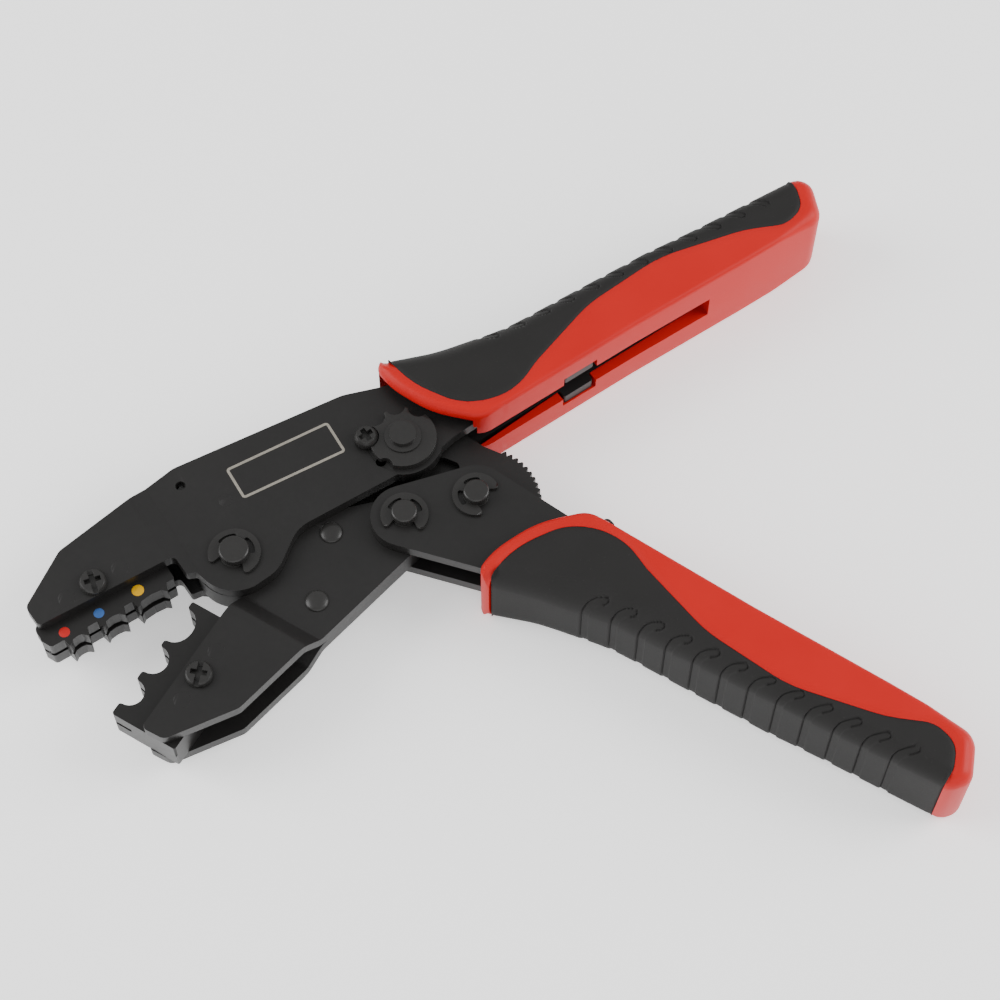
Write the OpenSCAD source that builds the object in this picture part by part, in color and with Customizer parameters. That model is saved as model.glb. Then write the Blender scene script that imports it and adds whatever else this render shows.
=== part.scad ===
// Ratchet crimping pliers for insulated terminals.
// Everything is drawn about the main pivot: x and y in the plane of the plates, z through the
// thickness, z = 0 at the mid-plane. in_place() then sets the tool down on its handle sleeves.

/* [Plates] */
// Thickness of every pressed steel plate
plate_t = 3; // [2.6:0.1:3.2]
// Clearance between the jaw plates and the plates outside them
side_gap = 0.2; // [0.1:0.05:0.4]
// Half thickness of the crimping dies
die_half = 4.5; // [4:0.1:5]

/* [Linkage] */
// Pin between the jaw and the moving handle, from the main pivot
jaw_pin_at = [39.1, 10]; // [0:0.1:60]
// Pin between the moving handle and the toggle link
link_pin_at = [55.8, 15.3]; // [0:0.1:80]
// Axis of the adjuster in the frame plates
adjuster_at = [38.4, 30.2]; // [0:0.1:60]
// Angle through which the jaw closes
jaw_travel = 26.3; // [20:0.1:27]
// Diameter of the main pivot pin
pivot_d = 7; // [6:0.1:8]
// Diameter of the two linkage pins
link_pin_d = 6; // [5:0.1:6.5]
// Diametral clearance of a pin in a part that turns on it
running_clearance = 0.06; // [0.02:0.01:0.2]

/* [Dies] */
// Direction of the line on which the dies meet, from +X
die_line = 33; // [30:0.5:36]
// Left end of the dies along that line, from the main pivot
die_left = -47.8; // [-49:0.1:-46]
// Right end of the dies along that line
die_right = -14.5; // [-15:0.1:-13]
// Height of each die behind the meeting line
die_height = 15; // [13:0.5:16]
// Half width of the slit between the wire layer and the insulation layer
slit_half = 0.6; // [0.4:0.1:1]

/* [Handles] */
// Half thickness of the handle sleeves
sleeve_half = 12; // [11:0.5:13]
// Direction of the fixed handle, from +X
fixed_angle = 35.2; // [32:0.1:37]
// Direction of the moving handle, from +X, with the tool open
moving_angle = -34; // [-37:0.1:-32]
// Thickness of the soft overmoulding
grip_t = 1.8; // [1.2:0.1:2.4]
// Thickness of the sleeve wall that faces the other handle
inner_wall = 2.4; // [2:0.1:3]

/* [Ratchet] */
// Number of ratchet teeth
tooth_count = 12; // [10:1:14]
// Angle from one tooth to the next
tooth_pitch = 6.2; // [5.5:0.1:7]
// Radius over the tips of the teeth
tooth_tip_r = 15.5; // [15:0.1:16]
// Depth of the teeth
tooth_depth = 0.9; // [0.6:0.1:1.2]
// Thickness of the toothed plate
ratchet_t = 2.2; // [2:0.1:2.8]

/* [Hidden] */
$fn = 64;

// Colours of the finishes
black_oxide = [0.17, 0.17, 0.17];
dull_steel = [0.30, 0.30, 0.29];
sleeve_red = [0.78, 0.16, 0.13];
grip_black = [0.15, 0.15, 0.15];
spring_steel = [0.55, 0.55, 0.53];

// Where the main pivot stands in the finished part
pivot_at = [-59.02, -21.83];

// Levels of the plates, from the mid-plane
main_z = plate_t + side_gap;
main_top = main_z + plate_t;
nose_z = die_half;
nose_top = nose_z + plate_t;
reach = 200;

// Where the outer plates step out over the dies, along the die line
frame_bend = [-13.5, -9.1];
jaw_bend = [-12.2, -7.0];

// Holes that the plates share
dowel_d = 4;
die_screw_d = 4;
upper_dowels = [[-37.6, -12.1], [-26.0, -4.3]];
upper_screw_at = [-31.8, -8.2];
lower_dowels = [[-9.7, -37.2], [-2.7, -25.4]];
lower_screw_at = [-6.2, -31.2];
rivet_d = 3.4;
rivets_at = [[21.9, 7.1], [19.2, -10.6]];
anchor_pin_d = 3.2;
anchor_at = [-2.8, 13.9];
spring_hook_at = [22.6, 11.0];
spring_hook_d = 1.6;
lock_screw_d = 3;
lock_screw_at = [29.7, 30.1];
vent_holes = [[-13.6, 17.8, 2.4], [33.3, 24.2, 2.5]];
journal_d = 7;
eccentric_d = 6;
eccentric_offset = 0.5;
spacer_rivet_d = 4;
spacer_d = 8;
spacers_at = [[20.5, 8.6], [56, 8.0]];
pawl_pin_d = 4;
pawl_pin_at = [-3, 8.5];
pawl_tip_at = [-13.35, 5.15];
// The pawl is drawn square to the ratchet, a little turned from the handle
pawl_shift = [-1.78, -1.08];
pawl_turn = 1;

// Handle sleeves, in handle coordinates: s runs along the handle and w across it, from the face
// that looks at the other handle
fixed_origin = [61.35, 36.0];
moving_origin = [85.8, 6.1];
tab_span = [19.4, 28.0];
tab_rise = 0.3;
window_margin = 0.6;
plate_lower_w = 2.5;
slot_half = 3.4;
slot_end = 62.5;
mouth_half = 9.3;
mouth_depth = 6;

// ---- Outlines --------------------------------------------------------------------------------

function unit(v) = v / norm(v);
function turn(a) = [cos(a), sin(a)];
function spin(p, a) = [p[0] * cos(a) - p[1] * sin(a), p[0] * sin(a) + p[1] * cos(a)];

// Points of an arc, each with the corner radius 0
function arc(c, r, a0, a1, step = 9) =
    let (n = max(2, ceil(abs(a1 - a0) / step)))
    [for (i = [0:n]) let (a = a0 + (a1 - a0) * i / n) [c[0] + r * cos(a), c[1] + r * sin(a), 0]];

// One corner b between a and c, rounded to radius r
function corner(a, b, c, r) =
    let (u = unit(a - b), w = unit(c - b), half = acos(min(1, max(-1, u * w))) / 2)
    r <= 0 || half > 89 ? [b] :
    let (
        centre = b + unit(u + w) * r / sin(half),
        p = b + u * r / tan(half) - centre,
        q = b + w * r / tan(half) - centre,
        a0 = atan2(p[1], p[0]),
        raw = atan2(q[1], q[0]) - a0,
        sweep = raw > 180 ? raw - 360 : raw < -180 ? raw + 360 : raw,
        n = max(2, ceil(abs(sweep) / 12))
    )
    [for (i = [0:n]) centre + r * turn(a0 + sweep * i / n)];

// Closed outline from corners [x, y, radius]
function rounded(pts) =
    let (n = len(pts), xy = [for (p = pts) [p[0], p[1]]])
    [for (i = [0:n - 1]) each corner(xy[(i + n - 1) % n], xy[i], xy[(i + 1) % n], pts[i][2])];

// A point given along and across a handle, with its corner radius
function on_fixed(s, w, r = 0) =
    let (p = fixed_origin + spin([s, w], fixed_angle)) [p[0], p[1], r];
function on_moving(s, w, r = 0) =
    let (p = moving_origin + spin([s, -w], moving_angle)) [p[0], p[1], r];

// The tail of a handle plate: [s, w, radius], out along the back and home along the inner edge
plate_tail = [
    [0, 17.6, 14], [14, 15.0, 20], [66, 13.0, 3], [66, 4.5, 2], [63, plate_lower_w, 2],
    [tab_span[1], plate_lower_w, 0], [tab_span[1], tab_rise, 0.6],
    [tab_span[0], tab_rise, 0.6], [tab_span[0], plate_lower_w, 0]
];

function frame_outline(lobe_r) = rounded(concat(
    [[-43.4, -19.0, 1.2], [-46.8, -14.4, 2], [-40.4, 0, 3], [-15.7, 22.4, 6],
     [23.5, 42.4, 10], [32.4, 44.6, 5]],
    [for (p = plate_tail) on_fixed(p[0], p[1], p[2])],
    [on_fixed(-5, plate_lower_w, 3), [50.4, 31.1, 4]],
    arc(adjuster_at, 9.4, -12, -97),
    [[14.2, 6.7, 9], [10.3, -4.2, 8]],
    arc([0.4, 0.3], lobe_r, -62, -138),
    [[-8.5, -4.9, 0.8], [-10.7, -5.6, 0.8], [-13.7, -1.2, 1.3]]
));

function jaw_outline() = rounded(concat(
    [[-18.4, -43.9, 1.2]],
    arc([0, 0], jaw_lobe_r, -76, -298),
    [[16, 8.4, 8], [25, 13.6, 5]],
    arc(jaw_pin_at, 7, 115, -42.7),
    [[3.2, -39.2, 3], [-13.2, -46.7, 2.5]]
));

function handle_outline() = rounded(concat(
    arc(link_pin_at, 8.1, 55, 107.6),
    arc(jaw_pin_at, 8, 107.6, 257.6),
    [on_moving(-13.5, 22.8, 12)],
    [for (p = plate_tail) on_moving(p[0], p[1], p[2])]
));

// Outer outline of a handle sleeve; inset moves its back inwards
function sleeve_outline(inset = 0) = [
    [-5.0, 0, 6], [-13.4, 9.2, 26], [-17.6, 20.5 - inset, 20],
    [-17.6 + inset, 29.0 - inset, 3 - inset * 0.5], [-4, 24.0 - inset, 24], [14, 19.7 - inset, 40],
    [56, 16.6 - inset, 60], [98.2 - inset, 12.8 - inset, 4 - inset],
    [101.4 - inset, 8.8, 4 - inset], [96.8, -1.3, 5], [74, -1.1, 30], [40, -0.2, 60]
];

// Edge of the soft overmoulding on the flat of a sleeve, ending beyond the sleeve's back
grip_edge = [
    [-14.0, 40, 0], [-14.0, 18.5, 24], [-7.0, 6.2, 14], [4.0, 0.9, 16], [14.5, 5.4, 14],
    [34, 11.2, 30], [56, 12.2, 30], [78, 6.6, 30], [87.6, 1.9, 7], [94.0, 3.4, 6],
    [96.4, 9.0, 5], [96.4, 40, 0]
];

// Room for the handle plates inside a sleeve
cavity = [
    [-40, -0.6, 0], [19, inner_wall, 4], [66.5, inner_wall, 1], [66.5, 13.4, 1], [14, 15.6, 20],
    [0, 18.4, 14], [-14, 25.4, 10], [-40, 34, 0]
];

// ---- Building blocks -------------------------------------------------------------------------

module in_place() translate([pivot_at[0], pivot_at[1], sleeve_half]) children();
module on_fixed_handle() translate(fixed_origin) rotate(fixed_angle) children();
module on_moving_handle() translate(moving_origin) rotate(moving_angle) mirror([0, 1, 0]) children();
module on_pawl_place() on_moving_handle() translate(pawl_shift) rotate(pawl_turn) children();

// Prism of an outline between two levels
module slab(outline, z0, z1) translate([0, 0, z0]) linear_extrude(z1 - z0) polygon(outline);

// Round bar or hole between two levels
module bar(at, d, z0, z1) translate([at[0], at[1], z0]) cylinder(d = d, h = z1 - z0);
module drill(at, d) bar(at, d, -20, 20);

// Sheet that steps from the outer level down to the inner level along a line at an angle
bend_in_r = 2;
bend_out_r = 5;
module stepped_sheet(angle, bend, inner, outer)
    rotate([0, 0, angle]) translate([0, reach / 2, 0]) rotate([90, 0, 0]) linear_extrude(reach)
        polygon(rounded([
            [-reach, outer, 0], [bend[0], outer, bend_in_r], [bend[1], inner, bend_out_r],
            [reach, inner, 0], [reach, inner + plate_t, 0], [bend[1], inner + plate_t, bend_in_r],
            [bend[0], outer + plate_t, bend_out_r], [-reach, outer + plate_t, 0]
        ]));

// E-shaped retaining ring around a groove, open towards the angle: two broad rounded tips and a tab
// bear in the groove, and the ring is relieved between them so that it springs
function polar(r, a, round = 0) = [r * cos(a), r * sin(a), round];
function e_clip_half(g, q, r) = concat(
    [polar(g + 0.1, 60, 0.8), polar(r, 43, 0.8)], arc([0, 0], r, 54, 180)
);
function e_clip_bore(g, q) = concat(
    [polar(g, 176), polar(g, 169, 0.2), polar(q, 165, 0.5)], arc([0, 0], q, 156, 114),
    [polar(q, 106, 0.5), polar(g, 100, 0.2)], arc([0, 0], g, 96, 68)
);
function flip(pts) = [for (i = [len(pts) - 1:-1:0]) [pts[i][0], -pts[i][1], pts[i][2]]];
module e_clip(at, groove_d, outer_d, angle, z0, z1) {
    groove_r = groove_d / 2;
    relief_r = groove_r + (outer_d / 2 - groove_r) * 0.62;
    outside = e_clip_half(groove_r, relief_r, outer_d / 2);
    bore = e_clip_bore(groove_r, relief_r);
    translate([at[0], at[1], 0]) rotate([0, 0, angle])
        slab(rounded(concat(outside, [for (p = flip(outside)) if (p[0] > 0.01 - outer_d / 2) p],
                            flip(bore), bore)), z0, z1);
}

// Pin with a ring groove and a chamfer at each end
clip_t = 0.8;
pin_end = 1.9;
pin_chamfer = 0.3;
module grooved_pin(at, d, groove_d) {
    half = main_top + clip_t + pin_end;
    translate([at[0], at[1], 0]) rotate_extrude() polygon([
        [0, -half], [d / 2 - pin_chamfer, -half], [d / 2, pin_chamfer - half],
        [d / 2, -main_top - clip_t], [groove_d / 2, -main_top - clip_t],
        [groove_d / 2, -main_top], [d / 2, -main_top],
        [d / 2, main_top], [groove_d / 2, main_top], [groove_d / 2, main_top + clip_t],
        [d / 2, main_top + clip_t], [d / 2, half - pin_chamfer],
        [d / 2 - pin_chamfer, half], [0, half]
    ]);
}
module clip_pair(at, groove_d, outer_d, angle, rear_angle) {
    e_clip(at, groove_d, outer_d, angle, main_top, main_top + clip_t);
    e_clip(at, groove_d, outer_d, rear_angle, -main_top - clip_t, -main_top);
}

// Cheese-head screw with a cross recess and, if wanted, a slot across its head
module screw(at, d, head_d, head_z, head_h, tip_z, angle, slotted) {
    recess = 1.3;
    slot_w = 1.25;
    difference() {
        translate([at[0], at[1], 0]) rotate_extrude() polygon([
            [0, tip_z], [d / 2 - 0.4, tip_z], [d / 2, tip_z + 0.4], [d / 2, head_z],
            [head_d / 2, head_z], [head_d / 2, head_z + head_h * 0.6],
            [head_d / 2 - head_h * 0.25, head_z + head_h], [0, head_z + head_h]
        ]);
        translate([at[0], at[1], head_z + head_h - recess]) rotate([0, 0, angle]) {
            for (a = [0, 90]) rotate([0, 0, a])
                translate([-head_d * 0.31, -slot_w / 2, 0]) cube([head_d * 0.62, slot_w, recess * 2]);
            if (slotted)
                translate([-head_d, -slot_w / 2, 0.3]) cube([head_d * 2, slot_w, recess * 2]);
        }
    }
}

// ---- Frame -----------------------------------------------------------------------------------

module frame_plate(lobe_r, front) {
    difference() {
        intersection() {
            slab(frame_outline(lobe_r), 0, nose_top + 1);
            stepped_sheet(die_line, frame_bend, main_z, nose_z);
        }
        for (p = upper_dowels) drill(p, dowel_d);
        drill(upper_screw_at, die_screw_d);
        drill([0, 0], pivot_d);
        drill(anchor_at, anchor_pin_d);
        drill(adjuster_at, journal_d);
        if (front) drill(lock_screw_at, lock_screw_d);
        for (p = vent_holes) drill(p, p[2]);
        on_fixed_handle() for (p = spacers_at) drill(p, spacer_rivet_d);
    }
}
module front_frame_plate() color(black_oxide) in_place() frame_plate(9.8, true);
module rear_frame_plate() color(black_oxide) in_place() mirror([0, 0, 1]) frame_plate(8.4, false);

// Crimping edge of the upper die: three punches, each with two tips and an arch between them,
// and a deep notch beside each punch
punches = [[-42.6, -38.0], [-34.0, -28.5], [-24.9, -17.4]];
notch_v = 2.9;
punch_tip_v = 0.7;
function punch(p, lead, arch) = [
    [p[0] - lead - 0.5, notch_v, 0.25], [p[0] - lead, punch_tip_v, 0.15],
    [p[0] + 0.9, punch_tip_v + arch * 0.75, 0.4], [(p[0] + p[1]) / 2, punch_tip_v + arch, 2],
    [p[1] - 1.1, punch_tip_v + arch * 0.8, 0.5], [p[1], punch_tip_v, 0.15], [p[1] + 0.6, notch_v, 0.25]
];
function upper_die_edge(lead, arch) = rounded(concat(
    [[die_left + 4, die_height, 0.5], [die_left + 1, 10, 1], [die_left, notch_v + 2.6, 1],
     [die_left + 1.2, notch_v, 1]],
    [for (p = punches) each punch(p, lead, arch)],
    [[die_right, notch_v, 0.4], [die_right, die_height, 0.5]]
));
module upper_die() color(black_oxide) in_place() difference() {
    rotate([0, 0, die_line]) {
        slab(upper_die_edge(0, 1.0), -die_half, -slit_half);
        slab(upper_die_edge(0.2, 1.5), slit_half, die_half);
        slab([[die_left + 0.6, notch_v + 0.8], [die_right, notch_v + 0.8], [die_right, die_height],
              [die_left + 4, die_height], [die_left + 1, 10]], -slit_half, slit_half);
    }
    for (p = upper_dowels) drill(p, dowel_d);
    drill(upper_screw_at, die_screw_d);
}
module upper_die_screw() color(dull_steel) in_place()
    screw(upper_screw_at, die_screw_d, 6.3, nose_top, 1.7, -nose_top - 0.4, 110, true);
module upper_die_dowels() color(dull_steel) in_place()
    for (p = upper_dowels) bar(p, dowel_d, -nose_top, nose_top);

clip_groove_ratio = 0.74;
module main_pivot_pin() color(dull_steel) in_place()
    grooved_pin([0, 0], pivot_d, pivot_d * clip_groove_ratio);
module main_pivot_clips() color(dull_steel) in_place()
    clip_pair([0, 0], pivot_d * clip_groove_ratio, 12.3, -108, 72);

// Flush pin through both frame plates; the opening spring hooks round its waist
module spring_anchor_pin() color(dull_steel) in_place()
    translate([anchor_at[0], anchor_at[1], 0]) rotate_extrude() polygon([
        [0, -main_top], [anchor_pin_d / 2, -main_top], [anchor_pin_d / 2, -0.8],
        [anchor_pin_d / 2 - 0.6, -0.4], [anchor_pin_d / 2 - 0.6, 0.4], [anchor_pin_d / 2, 0.8],
        [anchor_pin_d / 2, main_top], [0, main_top]
    ]);

// Adjuster: an eccentric pin carries the toggle link, and turning it sets the crimping force
wheel_t = 1.6;
wheel_r = 8;
wheel_notches = [[180, 3.05], [142, 2.5], [104, 2.5], [66, 2.5], [242, 1.9]];
notch_reach = abs(lock_screw_at[0] - adjuster_at[0]);
module eccentric_pin() color(dull_steel) in_place() translate([adjuster_at[0], adjuster_at[1], 0]) {
    bar([0, 0], journal_d, plate_t, main_top + wheel_t);
    bar([eccentric_offset, 0], eccentric_d, -plate_t, plate_t);
    bar([0, 0], journal_d, -main_top, -plate_t);
    bar([0, 0], journal_d * clip_groove_ratio, -main_top - clip_t, -main_top);
    bar([0, 0], journal_d, -main_top - clip_t - pin_end, -main_top - clip_t);
    bar([0, 0], 8.8, main_top + wheel_t, main_top + wheel_t + 0.4);
    bar([0, 0], 6.3, main_top + wheel_t + 0.4, main_top + wheel_t + 1.9);
}
module adjuster_wheel() color(dull_steel) in_place()
    translate([adjuster_at[0], adjuster_at[1], main_top]) difference() {
        cylinder(r = wheel_r, h = wheel_t);
        translate([0, 0, -1]) cylinder(d = journal_d, h = wheel_t + 2);
        for (n = wheel_notches)
            rotate([0, 0, n[0]]) translate([notch_reach, 0, -1]) cylinder(r = n[1], h = wheel_t + 2);
    }
module adjuster_lock_screw() color(dull_steel) in_place() {
    screw(lock_screw_at, lock_screw_d, 5.6, main_top + 0.6, 2.2, main_z, 35, false);
    difference() {
        bar(lock_screw_at, 4.4, main_top, main_top + 0.6);
        drill(lock_screw_at, lock_screw_d);
    }
}
module eccentric_clip() color(dull_steel) in_place()
    e_clip(adjuster_at, journal_d * clip_groove_ratio, 12.3, 60, -main_top - clip_t, -main_top);

// Shouldered rivets that hold a pair of handle plates apart
module spacer_pair() for (p = spacers_at) translate([p[0], p[1], 0]) rotate_extrude() polygon([
    [0, -main_top], [spacer_rivet_d / 2, -main_top], [spacer_rivet_d / 2, -main_z],
    [spacer_d / 2, -main_z], [spacer_d / 2, main_z], [spacer_rivet_d / 2, main_z],
    [spacer_rivet_d / 2, main_top], [0, main_top]
]);
module frame_spacers() color(dull_steel) in_place() on_fixed_handle() spacer_pair();

// ---- Handle sleeves, drawn along the handle ---------------------------------------------------

core_half = sleeve_half - grip_t;
module sleeve() difference() {
    slab(rounded(sleeve_outline()), -sleeve_half, sleeve_half);
    // step for the overmoulding on both flats and round the back
    difference() {
        slab(rounded(grip_edge), -reach, reach);
        slab(rounded(sleeve_outline(grip_t)), -core_half, core_half);
    }
    slab(rounded(cavity), -main_top, main_top);
    intersection() {
        slab(rounded(cavity), -mouth_half, mouth_half);
        translate([-reach + mouth_depth, -reach, -reach]) cube([reach, 2 * reach, 2 * reach]);
    }
    // slot along the inner wall, and the window for the tabs of the plates
    translate([-reach, -10, -slot_half]) cube([reach + slot_end, 14, 2 * slot_half]);
    translate([tab_span[0] - window_margin, -10, -main_top])
        cube([tab_span[1] - tab_span[0] + 2 * window_margin, 14, 2 * main_top]);
}
module grip() difference() {
    intersection() {
        slab(rounded(sleeve_outline()), -sleeve_half, sleeve_half);
        slab(rounded(grip_edge), -reach, reach);
    }
    slab(rounded(sleeve_outline(grip_t)), -core_half, core_half);
}
module fixed_handle_sleeve() color(sleeve_red) in_place() on_fixed_handle() sleeve();
module fixed_handle_grip() color(grip_black) in_place() on_fixed_handle() grip();
module moving_handle_sleeve() color(sleeve_red) in_place() on_moving_handle() sleeve();
module moving_handle_grip() color(grip_black) in_place() on_moving_handle() grip();

// Straight bar along the coils of a spring, between two points set back from its ends
module spring_bar(from, to, d, back_from, back_to) {
    run = to - from;
    translate([from[0], from[1], 0]) rotate([0, 0, atan2(run[1], run[0])]) rotate([0, 90, 0])
        translate([0, 0, back_from]) cylinder(d = d, h = norm(run) - back_from - back_to);
}
module opening_spring() color(spring_steel) in_place()
    spring_bar(anchor_at, spring_hook_at, 3.4, 2.2, 7);

// ---- Jaw -------------------------------------------------------------------------------------

jaw_lobe_r = 9.4;
lobe_room_r = 10.2;
module jaw_plate(spring_hole) difference() {
    union() {
        difference() {
            intersection() {
                slab(jaw_outline(), 0, nose_top + 1);
                stepped_sheet(die_line + jaw_travel, jaw_bend, 0, nose_z);
            }
            // room for the lobe of the frame plate to lie over the jaw
            bar([0, 0], 2 * lobe_room_r, plate_t, 20);
        }
        bar([0, 0], 2 * jaw_lobe_r, 0, plate_t);
    }
    drill([0, 0], pivot_d + running_clearance);
    drill(jaw_pin_at, link_pin_d + running_clearance);
    for (p = rivets_at) drill(p, rivet_d);
    for (p = lower_dowels) drill(p, dowel_d);
    drill(lower_screw_at, die_screw_d);
    if (spring_hole) drill(spring_hook_at, spring_hook_d);
}
module front_jaw_plate() color(black_oxide) in_place() jaw_plate(false);
module rear_jaw_plate() color(black_oxide) in_place() mirror([0, 0, 1]) jaw_plate(true);

// Dome-headed rivets that close the two jaw plates together
rivet_head_d = 5.6;
rivet_head_h = 1.0;
module jaw_rivets() color(dull_steel) in_place() for (p = rivets_at) translate([p[0], p[1], 0]) {
    cylinder(d = rivet_d, h = 2 * plate_t, center = true);
    for (side = [0, 1]) mirror([0, 0, side]) translate([0, 0, plate_t]) rotate_extrude() polygon([
        [0, 0], for (i = [0:6]) [cos(i * 15) * rivet_head_d / 2, sin(i * 15) * rivet_head_h]
    ]);
}

// Crimping edge of the lower die: round pockets between narrow fingers that close into the notches
pockets = [[-43.7, -37.2], [-34.7, -27.6], [-25.7, -16.6]];
finger_v = 2.1;
function pocket(p, depth) = [for (a = [180:15:360])
    [(p[0] + p[1]) / 2 + (p[1] - p[0]) / 2 * cos(a), finger_v - 0.6 + depth * sin(a), 0]];
function lower_die_edge(deeper) = rounded(concat(
    [[die_left + 0.9, -die_height, 0.5], [die_left + 0.9, finger_v, 0.7]],
    [for (i = [0:2]) each concat(
        [[pockets[i][0] - 0.25, finger_v, 0.6]], pocket(pockets[i], 2.8 + 0.2 * i + deeper),
        [[pockets[i][1] + 0.25, finger_v, 0.6]])],
    [[die_right - 0.1, finger_v, 0.5], [die_right - 0.1, -die_height, 0.5]]
));
module lower_die() color(black_oxide) in_place() difference() {
    rotate([0, 0, die_line + jaw_travel]) {
        slab(lower_die_edge(0), -die_half, -slit_half);
        slab(lower_die_edge(0.5), slit_half, die_half);
        slab([[die_left + 0.9, -2.6], [die_right - 0.1, -2.6], [die_right - 0.1, -die_height],
              [die_left + 0.9, -die_height]], -slit_half, slit_half);
    }
    for (p = lower_dowels) drill(p, dowel_d);
    drill(lower_screw_at, die_screw_d);
}
module lower_die_screw() color(dull_steel) in_place()
    screw(lower_screw_at, die_screw_d, 6.3, nose_top, 1.7, -nose_top - 0.4, 80, true);
module lower_die_dowels() color(dull_steel) in_place()
    for (p = lower_dowels) bar(p, dowel_d, -nose_top, nose_top);

// ---- Moving handle ---------------------------------------------------------------------------

module handle_plate() difference() {
    slab(handle_outline(), main_z, main_top);
    drill(jaw_pin_at, link_pin_d);
    drill(link_pin_at, link_pin_d);
    on_moving_handle() {
        for (p = spacers_at) drill(p, spacer_rivet_d);
    }
    on_pawl_place() drill(pawl_pin_at, pawl_pin_d);
}
module front_handle_plate() color(black_oxide) in_place() handle_plate();
module rear_handle_plate() color(black_oxide) in_place() mirror([0, 0, 1]) handle_plate();
module jaw_pin() color(dull_steel) in_place()
    grooved_pin(jaw_pin_at, link_pin_d, link_pin_d * clip_groove_ratio);
module jaw_pin_clips() color(dull_steel) in_place()
    clip_pair(jaw_pin_at, link_pin_d * clip_groove_ratio, 11.3, -95, 85);
module link_pin() color(dull_steel) in_place()
    grooved_pin(link_pin_at, link_pin_d, link_pin_d * clip_groove_ratio);
module link_pin_clips() color(dull_steel) in_place()
    clip_pair(link_pin_at, link_pin_d * clip_groove_ratio, 11.3, -28, 152);
module handle_spacers() color(dull_steel) in_place() on_moving_handle() spacer_pair();
module pawl_pin() color(dull_steel) in_place() on_pawl_place()
    bar(pawl_pin_at, pawl_pin_d, -main_top, main_top);
pawl_spring_at = [5.4, 9.6];
pawl_spring_end = spin(spacers_at[0] - pawl_shift, -pawl_turn);
module pawl_spring() color(spring_steel) in_place() on_pawl_place()
    spring_bar(pawl_spring_at, pawl_spring_end, 3.2, 1.6, spacer_d / 2 + 0.4);

// ---- Toggle link and ratchet ------------------------------------------------------------------

// The link's far eye is a slot, because the eye's path is not a true circle about the jaw's joint
eye_drift = [[-0.1, 0.3], [0, 0], [-0.8, -0.95], [-1.3, -1.8], [-1.4, -2.5], [-0.7, -2.3]];
eye_d = eccentric_d + 0.5;
module eye_slot() for (p = eye_drift)
    drill([adjuster_at[0] + eccentric_offset + p[0], adjuster_at[1] + p[1]], eye_d);
eye_lobe_at = [adjuster_at[0] - 0.2, adjuster_at[1] - 1.1];
eye_lobe_r = 7.0;
hub_r = 8.4;
link_dir = atan2(eye_lobe_at[1] - link_pin_at[1], eye_lobe_at[0] - link_pin_at[0]);

module toggle_link() color(black_oxide) in_place() difference() {
    slab(rounded(concat(
        arc(link_pin_at, 7, link_dir - 90, link_dir - 270),
        arc(eye_lobe_at, eye_lobe_r, link_dir + 90, link_dir - 90)
    )), -plate_t, 0);
    drill(link_pin_at, link_pin_d + running_clearance);
    eye_slot();
}

first_tooth = 63.5;
last_tooth = first_tooth - tooth_pitch * (tooth_count - 1);
function teeth() = [for (i = [0:tooth_count - 1], k = [-0.5, -0.12, 0.12])
    let (a = first_tooth - tooth_pitch * (i + k), r = k == -0.5 ? tooth_tip_r - tooth_depth : tooth_tip_r)
    [link_pin_at[0] + r * cos(a), link_pin_at[1] + r * sin(a), 0]];
module ratchet_plate() color(black_oxide) in_place() difference() {
    slab(rounded(concat(
        teeth(),
        arc(link_pin_at, 13.6, last_tooth - tooth_pitch * 0.6, last_tooth - tooth_pitch, 6),
        arc(link_pin_at, hub_r, last_tooth - 24, -205),
        [[50.6, 23.0, 2], [52.6, 25.6, 1.5], [47.6, 27.8, 2]],
        arc(eye_lobe_at, eye_lobe_r, -20, -265),
        [[50.5, 35.6, 4], [57.5, 30.6, 3]]
    )), 0, ratchet_t);
    drill(link_pin_at, link_pin_d + running_clearance);
    eye_slot();
}
module link_washer() color(dull_steel) in_place() difference() {
    bar(link_pin_at, 10.5, ratchet_t, plate_t);
    drill(link_pin_at, link_pin_d + running_clearance);
}

// Pawl: a hub on its pin, a nose at the teeth, an arm for its spring and a release lever that
// stands out through the slot of the sleeve
module pawl() color(black_oxide) in_place() on_pawl_place() difference() {
    union() {
        bar(pawl_pin_at, 8, -plate_t, plate_t);
        slab(rounded([
            [pawl_tip_at[0], pawl_tip_at[1], 0.5], [pawl_tip_at[0] + 0.9, pawl_tip_at[1] + 2.0, 0.5],
            [-7.5, 10.4, 2], [-3.5, 12.4, 2], [5.4, 11.6, 1.8], [7.4, 9.6, 1.8], [5.4, 7.6, 1.8],
            [1.6, 7.0, 2], [2.2, -3.2, 1.2], [-0.8, -4.0, 1.2], [-2.6, 4.0, 2], [-6.5, 4.4, 2],
            [pawl_tip_at[0] + 1.8, pawl_tip_at[1] - 1.4, 0.5]
        ]), 0, ratchet_t);
    }
    drill(pawl_pin_at, pawl_pin_d + running_clearance);
    drill(pawl_spring_at, 1.4);
}

front_frame_plate();
rear_frame_plate();
upper_die();
upper_die_screw();
upper_die_dowels();
main_pivot_pin();
main_pivot_clips();
spring_anchor_pin();
eccentric_pin();
adjuster_wheel();
adjuster_lock_screw();
eccentric_clip();
frame_spacers();
fixed_handle_sleeve();
fixed_handle_grip();
opening_spring();
front_jaw_plate();
rear_jaw_plate();
jaw_rivets();
lower_die();
lower_die_screw();
lower_die_dowels();
front_handle_plate();
rear_handle_plate();
jaw_pin();
jaw_pin_clips();
link_pin();
link_pin_clips();
handle_spacers();
pawl_pin();
pawl_spring();
moving_handle_sleeve();
moving_handle_grip();
toggle_link();
ratchet_plate();
link_washer();
pawl();
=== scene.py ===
import bmesh
import bpy
import math
import numpy as np
from mathutils import Matrix, Vector, geometry


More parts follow.
